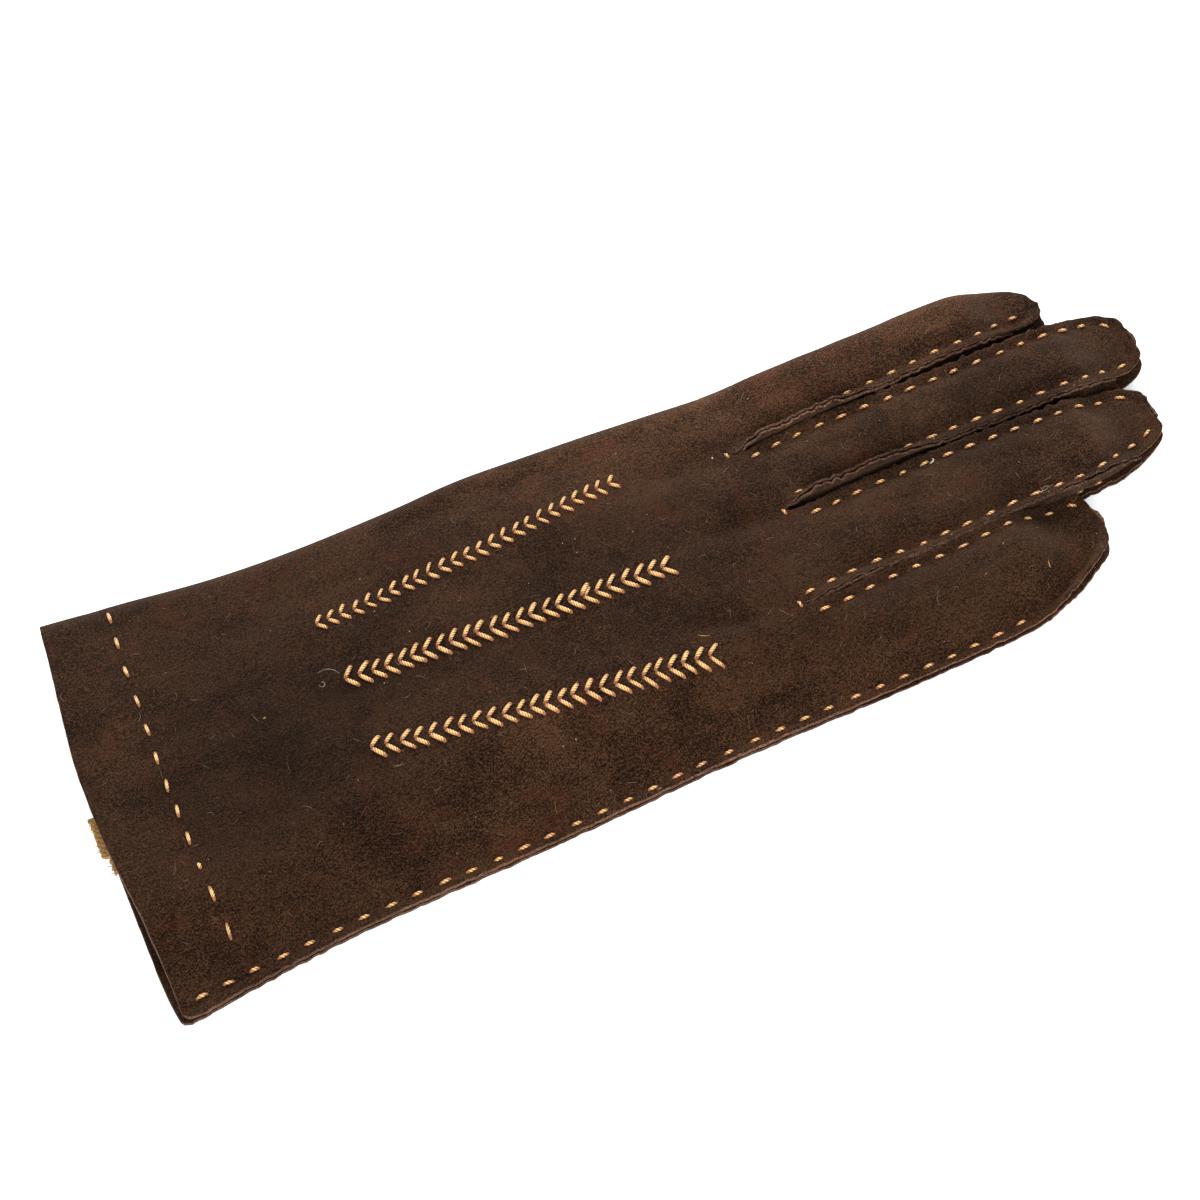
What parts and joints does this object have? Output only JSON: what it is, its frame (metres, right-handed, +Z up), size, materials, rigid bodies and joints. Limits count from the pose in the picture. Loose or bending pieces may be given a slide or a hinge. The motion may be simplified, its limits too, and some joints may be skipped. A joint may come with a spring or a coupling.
{
  "type": "suede dress glove",
  "caption": "Dark brown suede dress glove for the right hand, lying palm down, with tan outside seams, rows of arrow stitching on the back and a turned cuff hem.",
  "frame": {"origin": "the table, under the middle of the glove's box, as it lies on its palm", "axes": "+X along the glove from the cuff to the fingertips, +Y across it towards the index finger, +Z up from the table through the back of the hand"},
  "size_m": [0.2496, 0.1032, 0.0132],
  "materials": {
    "suede": "napped",
    "suede_side": "napped",
    "woven_tape": "woven"
  },
  "bodies": {
    "root": {"glove_body": "suede", "fourchette_index_middle": "suede_side", "fourchette_middle_ring": "suede_side", "fourchette_ring_little": "suede_side", "thumb": "suede", "woven_tab": "woven_tape"}
  },
  "joints": []
}
